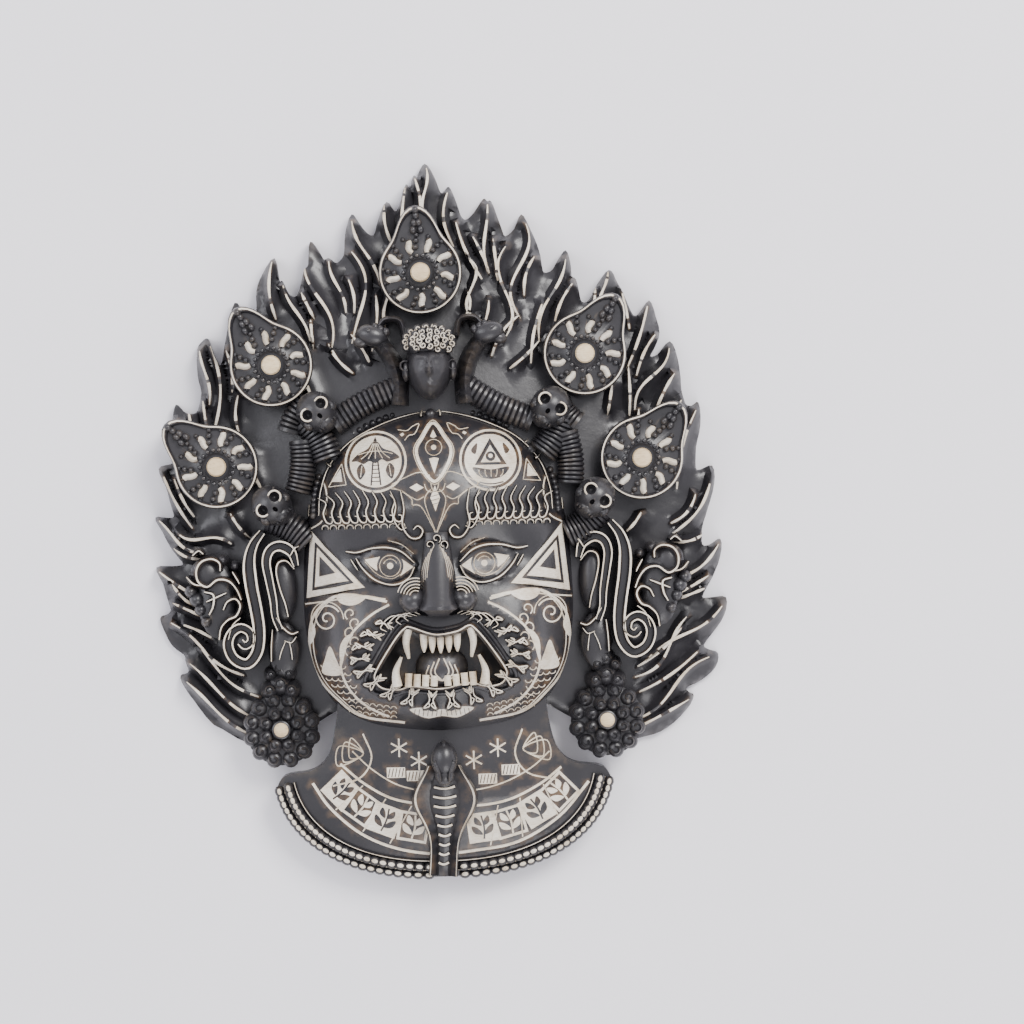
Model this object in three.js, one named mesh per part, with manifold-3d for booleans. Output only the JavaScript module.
// Wall mask of a wrathful guardian deity, cast in one piece in painted resin.
// It lies on its back: face up along +Z, the top of its head towards +Y, millimetres.
// Places on the mask are written as x (to the right) and y (to the top) from its middle.
import * as THREE from 'three';
import { mergeVertices } from 'three/addons/utils/BufferGeometryUtils.js';
import Module from 'manifold-3d';

const wasm = await Module();
wasm.setup();

// The whole mask, and the drawn size that the places below belong to
const MASK_HEIGHT = 361;
const DRAWN_HEIGHT = 361;
const RELIEF_DEPTH = 92;
const DRAWN_DEPTH = 92;

// Flame plate behind the face
const FLAME_REACH_X = 146;
const FLAME_REACH_Y = 172;
const FLAME_MIDDLE_Y = 10;
const PLATE_HALF_WIDTH = 128;
const PLATE_HALF_HEIGHT = 152;
const FLAME_EDGE = 6;
const FLAME_SWELL = 30;
const FLAME_RIDGE = 4.5;
const FLAME_FULLNESS = 1.25;
const FLAME_STATIONS = 5;

// Face dome
const FACE_Y = -26;
const FACE_HALF_WIDTH = 68;
const FACE_HALF_HEIGHT = 82;
const FACE_EDGE = 16;
const FACE_SWELL = 46;
const FACE_WALL = 8;
const HOLLOW_OVERCUT = 5;
const FACE_COLUMNS = 14;
const FACE_ROWS = 17;
const HOLLOW_MARGIN = 14;
const HOLLOW_SIDES = 14;
const HOLLOW_RINGS = 3;

// Features of the face
const NOSE_RISE = 24;
const SOCKET_DEPTH = 8;
const MOUTH_DEPTH = 12;
const TUFTS = 15;
const BROW_LOCKS = 5;
const BEAD_RADIUS = 3.4;
const BEADS = 15;

// Ornaments
const MEDALLION_RADIUS = 21;
const MEDALLION_TIP = 34;
const MEDALLION_STAND = 15;
const LEAF_SHARPNESS = 12;
const DISC_RADIUS = 5;
const RAYS = 9;
const RAY_RISE = 3;
const EAR_HEIGHT = 22;
const COIL_RISE = 9;
const SKULL_RADIUS = 10;
const PENDANT_RADIUS = 20;
const PENDANT_STAND = 18;
const PENDANTS = [[-81, -103], [83, -103]];
const PETALS = 8;
const COLLAR_Y = -120;
const COLLAR_HALF_WIDTH = 86;
const COLLAR_DROP = 60;
const COLLAR_OUTER_HEIGHT = 13;
const COLLAR_INNER_HEIGHT = 30;
const COLLAR_POWER = 2.3;
const COLLAR_INSET = 45;
const BORDER_WIDTH = 9;
const BORDER_RISE = 5;
const BORDER_CELLS = 8;

// Flame tongues: tip x, tip y, root x, root y, bow, sway, width
const FLAMES = [
  [0, 181, 2, 150, -2, 2, 14],
  [12, 168, 14, 142, -4, 0, 11],
  [31, 162, 31, 124, -2, 1, 14],
  [48, 153, 47, 98, -1.8, 5, 15],
  [43, 141, 36, 92, -1.5, -5, 10],
  [70, 134, 55, 86, -1.7, 2.5, 16],
  [91, 125, 86, 104, -1, 1, 17],
  [111, 108, 98, 74, 1.2, 0, 17],
  [121, 87, 102, 50, -0.7, 3, 16],
  [135, 55, 122, 8, -3.2, 0, 17],
  [141, 23, 117, -14, 5.6, 0, 15],
  [144, -14, 118, -34, 4.2, 0, 14],
  [139, -31, 112, -44, 1, 0, 11],
  [146, -44, 100, -76, 2, 2, 16],
  [134, -67, 98, -92, 2.3, 0, 12],
  [141, -72, 96, -106, -1, -2.8, 14],
  [128, -93, 92, -110, 0.5, 0, 15],
  [-21, 162, -17, 138, -2, 0, 13],
  [-38, 156, -24, 118, -1, -1.5, 15],
  [-42, 141, -40, 88, 9, 2, 13],
  [-60, 143, -50, 86, -1, -4.2, 15],
  [-74, 124, -60, 90, 0, -1.3, 12],
  [-78, 136, -77, 108, -3, 0, 14],
  [-113, 96, -112, 44, 6, 0, 15],
  [-104, 91, -101, 70, 2, 0, 12],
  [-139, 32, -122, -4, -1.5, 0, 15],
  [-142, 6, -116, -16, -3.3, 1.2, 15],
  [-143, -20, -116, -38, -1, 0, 15],
  [-141, -45, -86, -90, -1.5, 3.2, 15],
  [-130, -66, -92, -100, -1.2, 1, 12],
  [-132, -75, -92, -106, -2, 1, 15],
];

// Leaf medallions: disc x, disc y, bearing of the leaf's tip in degrees from the top
const MEDALLIONS = [
  [-4, 124, 3],
  [-80, 80, 31],
  [77, 81, -31],
  [-109, 30, 49],
  [104, 28, -38],
];

// Skulls: x, y, bearing of the crown of the skull in degrees from the top
const SKULLS = [
  [-58, 56, 40],
  [59, 55, -35],
  [-82, 10, 48],
  [80, 9, -42],
];

const lerp = (from, to, share) => from + (to - from) * share;
const radians = THREE.MathUtils.degToRad;
const hump = (x, y, cx, cy, rx, ry) => Math.exp(-(((x - cx) / rx) ** 2) - ((y - cy) / ry) ** 2);

// Surfaces that the carving stands on

function flamePlate(x, y) {
  const reach = Math.hypot(x / FLAME_REACH_X, (y - FLAME_MIDDLE_Y) / FLAME_REACH_Y);
  return FLAME_EDGE + FLAME_SWELL * THREE.MathUtils.clamp(1 - reach, 0, 0.65);
}

function facePower(y) {
  return y > FACE_Y ? 2.4 : 2.9;
}

function faceShare(x, y) {
  const power = facePower(y);
  const across = Math.abs(x / FACE_HALF_WIDTH) ** power;
  const along = Math.abs((y - FACE_Y) / FACE_HALF_HEIGHT) ** power;
  return (across + along) ** (1 / power);
}

function faceDome(x, y) {
  const share = Math.min(faceShare(x, y), 1);
  return FACE_EDGE + FACE_SWELL * (1 - share ** 3) ** 0.7;
}

function faceSurface(x, y) {
  const side = Math.abs(x);
  const forehead = 5 * hump(x, y, 0, 28, 34, 22);
  const brow = 7 * hump(side, y, 34, 4, 20, 8);
  const socket = -SOCKET_DEPTH * hump(side, y, 26, -20, 18, 9);
  const cheek = 9 * hump(side, y, 46, -56, 20, 24);
  const muzzle = 7 * hump(x, y, 0, -66, 40, 28);
  const chin = 8 * hump(x, y, 0, -97, 14, 9);
  return faceDome(x, y) + forehead + brow + socket + cheek + muzzle + chin;
}

function collarShare(x, y) {
  const across = Math.abs(x / COLLAR_HALF_WIDTH) ** COLLAR_POWER;
  const along = Math.abs(Math.min(y - COLLAR_Y, 0) / COLLAR_DROP) ** COLLAR_POWER;
  return (across + along) ** (1 / COLLAR_POWER);
}

function collarSurface(x, y) {
  const share = Math.min(collarShare(x, y), 1);
  return lerp(COLLAR_INNER_HEIGHT, COLLAR_OUTER_HEIGHT, share ** 1.5);
}

// Solids

function planScale() {
  return MASK_HEIGHT / DRAWN_HEIGHT;
}

function depthScale() {
  return RELIEF_DEPTH / DRAWN_DEPTH;
}

function signedVolume(points, faces) {
  let volume = 0;
  for (let i = 0; i < faces.length; i += 3) {
    const [a, b, c] = faces.slice(i, i + 3).map((k) => new THREE.Vector3(...points[k]));
    volume += a.dot(b.cross(c)) / 6;
  }
  return volume;
}

function solidFrom(points, faces) {
  const outward = signedVolume(points, faces) > 0;
  const order = outward ? faces : faces.toReversed();
  const scaled = points.flatMap(([x, y, z]) => [x * planScale(), y * planScale(), z * depthScale()]);
  const mesh = new wasm.Mesh({
    numProp: 3,
    vertProperties: new Float32Array(scaled),
    triVerts: new Uint32Array(order),
  });
  return new wasm.Manifold(mesh);
}

function solidOf(geometry) {
  geometry.deleteAttribute('normal');
  geometry.deleteAttribute('uv');
  const merged = mergeVertices(geometry, 1e-4);
  const place = merged.getAttribute('position');
  const points = [];
  for (let i = 0; i < place.count; i += 1) {
    points.push([place.getX(i), place.getY(i), place.getZ(i)]);
  }
  return solidFrom(points, [...merged.index.array]);
}

// Rings of equal length joined to a closed body, with a fan over both end rings
function loft(rings) {
  const size = rings[0].length;
  const points = rings.flat();
  const faces = [];
  for (let r = 0; r + 1 < rings.length; r += 1) {
    for (let i = 0; i < size; i += 1) {
      const a = r * size + i;
      const b = r * size + ((i + 1) % size);
      faces.push(a, b, b + size, a, b + size, a + size);
    }
  }
  const last = (rings.length - 1) * size;
  for (let i = 1; i + 1 < size; i += 1) {
    faces.push(0, i + 1, i, last, last + i, last + i + 1);
  }
  return solidFrom(points, faces);
}

// Rings around a centre, each with its own radius and height, closed by a flat foot.
// Radius and height are functions of the angle and of whether the side's number is odd.
function mound(centre, sides, rings, foot, start = 0) {
  const laid = rings.map(([radius, height]) => Array.from({ length: sides }, (_, i) => {
    const angle = start + (i / sides) * 2 * Math.PI;
    const reach = radius(angle, i % 2);
    return [
      centre[0] + reach * Math.cos(angle),
      centre[1] + reach * Math.sin(angle),
      height(angle, i % 2),
    ];
  }));
  const base = laid[0].map(([x, y]) => [x, y, foot]);
  return loft([base, ...laid]);
}

const ROOF = [[-1, null], [-0.85, 0.25], [0, 1], [0.85, 0.25], [1, null]];
const LICK = [[-1, null], [-0.85, 0.2], [0.2, 1], [1, null]];
const RIB = [[-1, null], [0, 1], [1, null]];
const BAR = [[-1, null], [-0.5, 1], [0.5, 1], [1, null]];

// A raised strip that follows a plan curve; a null corner of its section is a foot
function strip({ curve, width, rise, ground, foot, stations, section }) {
  const rings = [];
  for (let i = 0; i < stations; i += 1) {
    const share = i / (stations - 1);
    const [x, y] = curve(share);
    const [x0, y0] = curve(Math.max(share - 0.01, 0));
    const [x1, y1] = curve(Math.min(share + 0.01, 1));
    const length = Math.hypot(x1 - x0, y1 - y0);
    const normal = [-(y1 - y0) / length, (x1 - x0) / length];
    const half = width(share) / 2;
    const top = ground(x, y);
    rings.push(section.map(([across, up]) => [
      x + normal[0] * half * across,
      y + normal[1] * half * across,
      up === null ? foot(x, y) : top + rise(share) * up,
    ]));
  }
  return loft(rings);
}

function lump(x, y, z, rx, ry, rz, around = 6, down = 4, bearing = 0) {
  const ball = new THREE.SphereGeometry(1, around, down).rotateX(Math.PI / 2);
  ball.scale(rx, ry, rz).rotateZ(radians(bearing)).translate(x, y, z);
  return solidOf(ball);
}

function peg(x, y, radius, bottom, top, sides) {
  const post = new THREE.CylinderGeometry(radius, radius, top - bottom, sides).rotateX(Math.PI / 2);
  return solidOf(post.translate(x, y, (top + bottom) / 2));
}

function unite(solids) {
  if (solids.length === 1) {
    return solids[0];
  }
  const half = Math.ceil(solids.length / 2);
  return unite(solids.slice(0, half)).add(unite(solids.slice(half)));
}

// Plan curves

function swayCurve(tipX, tipY, rootX, rootY, bow, sway) {
  const length = Math.hypot(rootX - tipX, rootY - tipY);
  const normal = [-(rootY - tipY) / length, (rootX - tipX) / length];
  return (share) => {
    const off = bow * Math.sin(Math.PI * share) + sway * Math.sin(2 * Math.PI * share);
    return [lerp(tipX, rootX, share) + normal[0] * off, lerp(tipY, rootY, share) + normal[1] * off];
  };
}

function arcCurve(x, y, radius, from, to, endRadius = radius) {
  return (share) => {
    const angle = radians(lerp(from, to, share));
    const reach = lerp(radius, endRadius, share);
    return [x + reach * Math.cos(angle), y + reach * Math.sin(angle)];
  };
}

function smoothCurve(corners, closed = false) {
  const points = corners.map(([x, y]) => new THREE.Vector3(x, y, 0));
  const line = new THREE.CatmullRomCurve3(points, closed, 'centripetal');
  return (share) => line.getPoint(share).toArray().slice(0, 2);
}

// A closed curve that runs on a little past its start, so that a strip along it laps over itself
const lapped = (curve) => (share) => curve((share * 1.04) % 1);

const mirrored = (curve) => (share) => {
  const [x, y] = curve(share);
  return [-x, y];
};

// Carving on the face

function carved(curve, width, rise, stations, section = RIB, sink = 3) {
  return strip({
    curve,
    width: (share) => width * (0.35 + 0.65 * Math.sin(Math.PI * Math.min(share + 0.25, 0.75))),
    rise: () => rise,
    ground: faceSurface,
    foot: (x, y) => faceSurface(x, y) - sink,
    stations,
    section,
  });
}

function rimmed(curve, width, rise, stations, ground) {
  return strip({
    curve,
    width: () => width,
    rise: () => rise,
    ground,
    foot: (x, y) => ground(x, y) - 3,
    stations,
    section: RIB,
  });
}

// A strip of beads or cells that touch each other, two stations for each
function beaded(curve, width, rise, count, ground) {
  return strip({
    curve,
    width: () => width,
    rise: (share) => (Math.round(share * 2 * count) % 2 ? rise : rise * 0.4),
    ground,
    foot: (x, y) => ground(x, y) - 3,
    stations: 2 * count + 1,
    section: RIB,
  });
}

function faceRadius(angle) {
  const unit = faceShare(Math.cos(angle), FACE_Y + Math.sin(angle));
  return 1 / unit;
}

// Place of a grid corner on the face: the square grid is drawn out to the face's outline
function facePoint(column, row) {
  const u = lerp(-1, 1, column / FACE_COLUMNS);
  const v = lerp(-1, 1, row / FACE_ROWS);
  const share = Math.max(Math.abs(u), Math.abs(v));
  const angle = Math.atan2(v * FACE_HALF_HEIGHT, u * FACE_HALF_WIDTH);
  const x = faceRadius(angle) * share * Math.cos(angle);
  const y = FACE_Y + faceRadius(angle) * share * Math.sin(angle);
  return [x, y, faceSurface(x, y)];
}

// Numbers of the grid's corners along its edge, once round
function gridEdge() {
  const columns = FACE_COLUMNS + 1;
  const run = (length, place) => Array.from({ length }, (_, i) => place(i));
  return [
    ...run(FACE_COLUMNS, (i) => i),
    ...run(FACE_ROWS, (i) => i * columns + FACE_COLUMNS),
    ...run(FACE_COLUMNS, (i) => FACE_ROWS * columns + FACE_COLUMNS - i),
    ...run(FACE_ROWS, (i) => (FACE_ROWS - i) * columns),
  ];
}

function faceBody() {
  const points = [];
  const faces = [];
  const columns = FACE_COLUMNS + 1;
  for (let row = 0; row <= FACE_ROWS; row += 1) {
    for (let column = 0; column <= FACE_COLUMNS; column += 1) {
      points.push(facePoint(column, row));
    }
  }
  for (let row = 0; row < FACE_ROWS; row += 1) {
    for (let column = 0; column < FACE_COLUMNS; column += 1) {
      const a = row * columns + column;
      faces.push(a, a + 1, a + columns + 1, a, a + columns + 1, a + columns);
    }
  }
  const edge = gridEdge();
  const first = points.length;
  edge.forEach((k) => points.push([points[k][0], points[k][1], 0]));
  points.push([0, FACE_Y, 0]);
  edge.forEach((k, i) => {
    const next = (i + 1) % edge.length;
    faces.push(k, first + i, first + next, k, first + next, edge[next]);
    faces.push(first + next, first + i, points.length - 1);
  });
  return solidFrom(points, faces);
}

// The margin and the wall keep their own sizes when the mask is scaled
function backHollow() {
  const margin = HOLLOW_MARGIN / planScale();
  const wall = FACE_WALL / depthScale();
  const rings = Array.from({ length: HOLLOW_RINGS }, (_, i) => {
    const share = 1 - i / (HOLLOW_RINGS - 0.5);
    const radius = (angle) => (faceRadius(angle) - margin) * share;
    const height = (angle) => {
      const x = radius(angle) * Math.cos(angle);
      const y = FACE_Y + radius(angle) * Math.sin(angle);
      return faceDome(x, y) - SOCKET_DEPTH - wall;
    };
    return [radius, height];
  });
  return mound([0, FACE_Y], HOLLOW_SIDES, rings, -HOLLOW_OVERCUT);
}

function nose() {
  const top = faceSurface(0, -30);
  return [
    strip({
      curve: swayCurve(0, -10, 0, -42, 0, 0),
      width: (share) => lerp(12, 22, share),
      rise: (share) => lerp(4, NOSE_RISE, share),
      ground: () => top,
      foot: () => top - 8,
      stations: 4,
      section: ROOF,
    }),
    lump(0, -39, top + 10, 10, 8, NOSE_RISE - 8, 7, 5),
    lump(-12, -38, top + 5, 7.5, 6, 11, 6, 3),
    lump(12, -38, top + 5, 7.5, 6, 11, 6, 3),
  ];
}

const UPPER_LID = [[12, -22], [17, -15], [25, -12], [34, -13], [46, -13]];
const LOWER_LID = [[12, -23], [18, -30], [27, -31], [36, -25], [40, -18]];

function eyes() {
  return [1, -1].flatMap((side) => {
    const turned = (curve) => (side > 0 ? curve : mirrored(curve));
    return [
      lump(side * 24, -21, faceSurface(24, -21) - 1, 12, 8, 6, 7, 4),
      rimmed(turned(smoothCurve(UPPER_LID)), 3, 3, 5, faceSurface),
      rimmed(turned(smoothCurve(LOWER_LID)), 3, 3, 5, faceSurface),
    ];
  });
}

function brows() {
  return [1, -1].flatMap((side) => {
    const turned = (curve) => (side > 0 ? curve : mirrored(curve));
    const locks = Array.from({ length: BROW_LOCKS }, (_, i) => {
      const x = lerp(24, 52, i / (BROW_LOCKS - 1));
      return carved(turned(swayCurve(x + 1, 15, x, 1, 1.6, 0)), 3.4, 3.4, 3);
    });
    return [
      ...locks,
      carved(turned(swayCurve(20, 13, 15, -5, 2, 0)), 3.6, 3.4, 3),
      carved(turned(arcCurve(10.5, -5, 4.5, 0, -240, 1.5)), 2.4, 3, 5),
    ];
  });
}

function thirdEye() {
  const almond = lapped(smoothCurve([[0, 48], [9, 36], [8, 30], [0, 19], [-8, 30], [-9, 36]], true));
  return [
    rimmed(almond, 2.6, 2.4, 10, faceSurface),
    lump(0, 36, faceSurface(0, 36) - 1, 4.5, 4.5, 4, 6, 3),
  ];
}

const MOUTH_HALF = [[0, -56], [9, -54.5], [15, -52], [23, -60], [31, -72], [30, -80], [18, -82]];

function mouthOutline() {
  const left = MOUTH_HALF.slice(1).map(([x, y]) => [-x, y]).toReversed();
  return [...MOUTH_HALF, ...left];
}

function mouthCut() {
  const outline = mouthOutline();
  const floor = faceDome(0, -68) - MOUTH_DEPTH + 7;
  const ceiling = DRAWN_DEPTH;
  return loft([floor, ceiling].map((z) => outline.map(([x, y]) => [x, y, z])));
}

function mouthFittings() {
  const floor = faceDome(0, -68) - MOUTH_DEPTH + 6;
  const lip = lapped(smoothCurve(mouthOutline(), true));
  const tooth = (x, y, length, lean) => strip({
    curve: swayCurve(x, y, x + lean, y - length, 0, 0),
    width: (share) => lerp(3.4, 2, share),
    rise: () => 9,
    ground: () => floor,
    foot: () => floor - 2,
    stations: 3,
    section: RIB,
  });
  const front = [-8, -4, 0, 4, 8].map((x) => tooth(x + 0.6, -57.8, 7.6, 0));
  const fangs = [-1, 1].flatMap((side) => [
    tooth(side * 16, -55, 14, side),
    tooth(side * 21.6, -80, -14, -2 * side),
  ]);
  const tongue = lump(0, -75, floor, 13, 9, 9, 8, 4);
  return [rimmed(lip, 3.4, 3, 18, faceSurface), ...front, ...fangs, tongue];
}

function tufts() {
  return Array.from({ length: TUFTS }, (_, i) => {
    const angle = radians(lerp(48, 312, i / (TUFTS - 1)) + 90);
    const inner = [35 * Math.cos(angle), -66 + 20 * Math.sin(angle)];
    const outer = [43 * Math.cos(angle), -67 + 25 * Math.sin(angle)];
    return carved(swayCurve(...outer, ...inner, 0.8, 0), 4.4, 4, 2);
  });
}

function garland() {
  const row = (share) => {
    const angle = radians(lerp(176, 4, share));
    return [60 * Math.cos(angle), 5 + 47 * Math.sin(angle)];
  };
  const arches = [[-1, 52], [-50, 32], [49, 33]].map(([x, y]) => (
    rimmed(arcCurve(x, y, 4.6, 0, 180), 3, 4, 4, faceSurface)
  ));
  return [beaded(row, 2 * BEAD_RADIUS, BEAD_RADIUS + 3, BEADS, faceDome), ...arches];
}

// Ornaments around the face

// A tongue's width, as a share of its full width, from its blunt tip down to its root
function flameTaper(share) {
  return lerp(0.3, FLAME_FULLNESS, Math.sin(Math.min(share / 0.6, 1) * Math.PI / 2));
}

function flames() {
  return FLAMES.map(([tipX, tipY, rootX, rootY, bow, sway, width]) => strip({
    curve: swayCurve(tipX, tipY, rootX, rootY, bow, sway),
    width: (share) => width * flameTaper(share),
    rise: () => FLAME_RIDGE,
    ground: flamePlate,
    foot: () => 0,
    stations: Math.hypot(tipX - rootX, tipY - rootY) > 44 ? FLAME_STATIONS : FLAME_STATIONS - 1,
    section: LICK,
  }));
}

function backPlate() {
  const ring = (share) => {
    const radius = (angle) => {
      const sideways = THREE.MathUtils.smoothstep(Math.abs(Math.cos(angle)), 0.6, 0.8);
      const full = 1 / Math.hypot(Math.cos(angle) / PLATE_HALF_WIDTH, Math.sin(angle) / PLATE_HALF_HEIGHT);
      return share * full * lerp(0.85, Math.sin(angle) < 0 ? 1.06 : 0.98, sideways);
    };
    const height = (angle) => {
      const reach = radius(angle);
      return flamePlate(reach * Math.cos(angle), FLAME_MIDDLE_Y + reach * Math.sin(angle)) - 2;
    };
    return [radius, height];
  };
  return mound([0, FLAME_MIDDLE_Y], 20, [ring(1), ring(0.5)], 0);
}

function leafRadius(bearing) {
  const tip = radians(bearing + 90);
  const point = MEDALLION_TIP - MEDALLION_RADIUS;
  return (angle) => MEDALLION_RADIUS + point * Math.max(Math.cos(angle - tip), 0) ** LEAF_SHARPNESS;
}

// Leaf with a rim, a ring of rays, which stand between grooves, and a round boss
function medallion([x, y, bearing]) {
  const top = flamePlate(x, y) + MEDALLION_STAND;
  const leaf = leafRadius(bearing);
  const level = (height) => () => height;
  const rings = [
    [leaf, level(top - 1)],
    [level(DISC_RADIUS + 8), (angle, odd) => top - 2 + (odd ? RAY_RISE : 0)],
    [level(DISC_RADIUS + 3), level(top)],
    [level(DISC_RADIUS), level(top + 3)],
  ];
  return mound([x, y], 2 * RAYS, rings, 0, radians(bearing + 90));
}

function skull([x, y, bearing]) {
  const middle = flamePlate(x, y) + SKULL_RADIUS;
  const along = radians(bearing + 90);
  const sockets = [-1, 1].map((side) => {
    const ex = x + 1.5 * Math.cos(along) - side * 4.6 * Math.sin(along);
    const ey = y + 1.5 * Math.sin(along) + side * 4.6 * Math.cos(along);
    return peg(ex, ey, 2.8, middle + SKULL_RADIUS - 2, middle + SKULL_RADIUS + 4, 5);
  });
  const head = lump(x, y, middle, SKULL_RADIUS, SKULL_RADIUS * 1.05, SKULL_RADIUS + 3, 7, 5, bearing);
  return head.subtract(unite(sockets));
}

// Ribbed necks and coils: from x, from y, to x, to y, number of ribs, width
const COILS = [
  [-62, 50, -53, 32, 2, 15],
  [63, 50, 54, 32, 2, 15],
  [-82, 4, -64, -8, 2, 16],
  [80, 3, 65, -8, 2, 16],
  [-48, 52, -17, 66, 3, 13],
  [48, 52, 17, 66, 3, 13],
  [-66, 40, -69, 18, 2, 13],
  [66, 40, 68, 18, 2, 13],
];

function coils() {
  return COILS.map(([fromX, fromY, toX, toY, ribs, width]) => strip({
    curve: swayCurve(fromX, fromY, toX, toY, 0, 0),
    width: (share) => width * (Math.round(share * 2 * ribs) % 2 ? 1 : 0.75),
    rise: (share) => (Math.round(share * 2 * ribs) % 2 ? COIL_RISE : COIL_RISE - 3),
    ground: flamePlate,
    foot: (x, y) => flamePlate(x, y) - 5,
    stations: 2 * ribs + 1,
    section: BAR,
  }));
}

function crownHead() {
  const ground = flamePlate(0, 75);
  const face = lump(-1, 76, ground + 10, 12, 16, 22, 10, 7);
  const hair = Array.from({ length: 5 }, (_, i) => {
    const [x, y] = arcCurve(-1, 84, 11, 180, 0)(i / 4);
    return lump(x, y + 2, ground + 20, 6, 6, 9, 5, 3);
  });
  const nose = strip({
    curve: swayCurve(-1, 80, -1, 71, 0, 0),
    width: (share) => lerp(2, 5, share),
    rise: (share) => lerp(1, 4, share),
    ground: () => ground + 31,
    foot: () => ground + 26,
    stations: 3,
    section: RIB,
  });
  return [face, nose, ...hair];
}

function crownSnakes() {
  return [-1, 1].flatMap((side) => {
    const body = smoothCurve([[side * 26, 90], [side * 19, 83], [side * 17, 72], [side * 17, 60]]);
    const ground = flamePlate(20, 75);
    return [
      strip({
        curve: body,
        width: () => 10,
        rise: () => 16,
        ground: () => ground,
        foot: () => ground - 4,
        stations: 4,
        section: BAR,
      }),
      lump(side * 27, 91, ground + 14, 7, 5, 5, 6, 4, side * 12),
    ];
  });
}

function ear(side) {
  const ground = () => EAR_HEIGHT;
  const bar = (corners, width, rise, stations) => {
    const curve = smoothCurve(corners.map(([x, y]) => [side * x, y]));
    return strip({
      curve,
      width: () => width,
      rise: () => rise,
      ground,
      foot: () => EAR_HEIGHT - 9,
      stations,
      section: RIB,
    });
  };
  const arch = [[70, -16], [79, -10], [86, -17], [83, -33], [83, -48], [72, -54]];
  const frame = [[88, -3], [95, -18], [94, -36], [95, -52], [103, -63], [112, -56], [105, -48]];
  return [
    bar([[72, -20], [78, -32], [76, -46]], 12, 2, 3),
    bar(arch, 6, 7, 7),
    bar(frame, 6, 7, 8),
    bar([[82, -56], [83, -72], [82, -92]], 10, 3, 3),
    bar([[104, -6], [114, -22], [104, -32], [118, -44]], 9, 5, 6),
  ];
}

// Round flower of two rings of petals around a boss, hanging from a stem of two buds
function pendant([x, y]) {
  const top = PENDANT_STAND;
  const level = (height) => () => height;
  const petals = (low, high) => (angle, odd) => (odd ? high : low);
  const rings = [
    [petals(PENDANT_RADIUS - 1.5, PENDANT_RADIUS), level(top - 5)],
    [petals(PENDANT_RADIUS - 4, PENDANT_RADIUS - 3), petals(top - 2, top + 1)],
    [level(PENDANT_RADIUS * 0.55), petals(top + 2, top - 2)],
    [level(4), level(top + 4)],
  ];
  return [
    mound([x, y], 2 * PETALS, rings, 0),
    lump(x, y + PENDANT_RADIUS + 4, top / 2 + 2, 9, 8, top / 2, 6, 4),
    lump(x, y + PENDANT_RADIUS + 14, top / 2 + 3, 6, 6, top / 2, 5, 4),
  ];
}

// Collar with its two shoulders and a rolled border of cells, which rise and fall
const SHOULDER = [[80, -126.5], [66, -124], [58, -117], [54, -104], [52, -88]];
const COLLAR_MIDDLE_Y = -104;

function collarEdge(share) {
  const angle = lerp(radians(10), Math.PI / 2, share);
  const power = 2 / COLLAR_POWER;
  return [
    COLLAR_HALF_WIDTH * Math.cos(angle) ** power,
    COLLAR_Y - COLLAR_DROP * Math.sin(angle) ** power,
  ];
}

function collarBody() {
  const steps = 2 * BORDER_CELLS;
  const drop = Array.from({ length: steps + 1 }, (_, i) => collarEdge(1 - i / steps));
  const half = [...drop, ...SHOULDER];
  const outline = [...half, ...half.slice(1).map(([x, y]) => [-x, y]).toReversed()];
  const onBorder = (i) => Math.min(i, outline.length - i) <= steps;
  const ring = (inset, rise) => outline.map(([x, y], i) => {
    const size = Math.hypot(x, y - COLLAR_MIDDLE_Y);
    const share = onBorder(i) ? 1 - inset / size : 1 - inset / (3 * size);
    const px = x * share;
    const py = lerp(COLLAR_MIDDLE_Y, y, share);
    const cell = i % 2 ? rise : rise * 0.4;
    return [px, py, collarSurface(px, py) + (onBorder(i) ? cell : 0)];
  });
  const foot = outline.map(([x, y]) => [x, y, 0]);
  const border = [ring(0, 0), ring(BORDER_WIDTH / 2, BORDER_RISE), ring(BORDER_WIDTH, 0)];
  return loft([foot, ...border, ring(COLLAR_INSET, 0)]);
}

function cobra() {
  const height = (y) => lerp(44, 22, THREE.MathUtils.clamp((-116 - y) / 60, 0, 1));
  const trunk = strip({
    curve: swayCurve(0, -124, -2, -179, 0, 0),
    width: (share) => lerp(12, 15, share) + 21 * Math.exp(-(((share - 0.3) / 0.25) ** 2)),
    rise: () => 3,
    ground: (x, y) => height(y) - 4,
    foot: () => 0,
    stations: 6,
    section: BAR,
  });
  return [trunk, lump(0, -124, 41, 7, 11, 8, 6, 4)];
}

const blackPaint = new THREE.MeshStandardMaterial({ color: 0x1b1a1d, roughness: 0.42, metalness: 0 });

function castMask() {
  const raised = unite([
    backPlate(),
    ...flames(),
    ...MEDALLIONS.flatMap(medallion),
    ...SKULLS.map(skull),
    ...coils(),
    ...crownHead(),
    ...crownSnakes(),
    ...ear(1),
    ...ear(-1),
    ...PENDANTS.flatMap(pendant),
    collarBody(),
    ...cobra(),
    ...garland(),
    ...nose(),
    ...eyes(),
    ...brows(),
    ...thirdEye(),
    ...tufts(),
    faceBody().subtract(mouthCut()),
    ...mouthFittings(),
  ]);
  return raised.subtract(backHollow());
}

function centredGeometry(solid) {
  const mesh = solid.getMesh();
  const geometry = new THREE.BufferGeometry();
  geometry.setAttribute('position', new THREE.BufferAttribute(new Float32Array(mesh.vertProperties), 3));
  geometry.setIndex(new THREE.BufferAttribute(new Uint32Array(mesh.triVerts), 1));
  geometry.computeBoundingBox();
  const box = geometry.boundingBox;
  const middle = box.getCenter(new THREE.Vector3());
  geometry.translate(-middle.x, -middle.y, -box.min.z);
  geometry.computeVertexNormals();
  return geometry;
}

const group = new THREE.Group();
const mask = new THREE.Mesh(centredGeometry(castMask()), blackPaint);
mask.name = 'mask';
group.add(mask);

export default group;
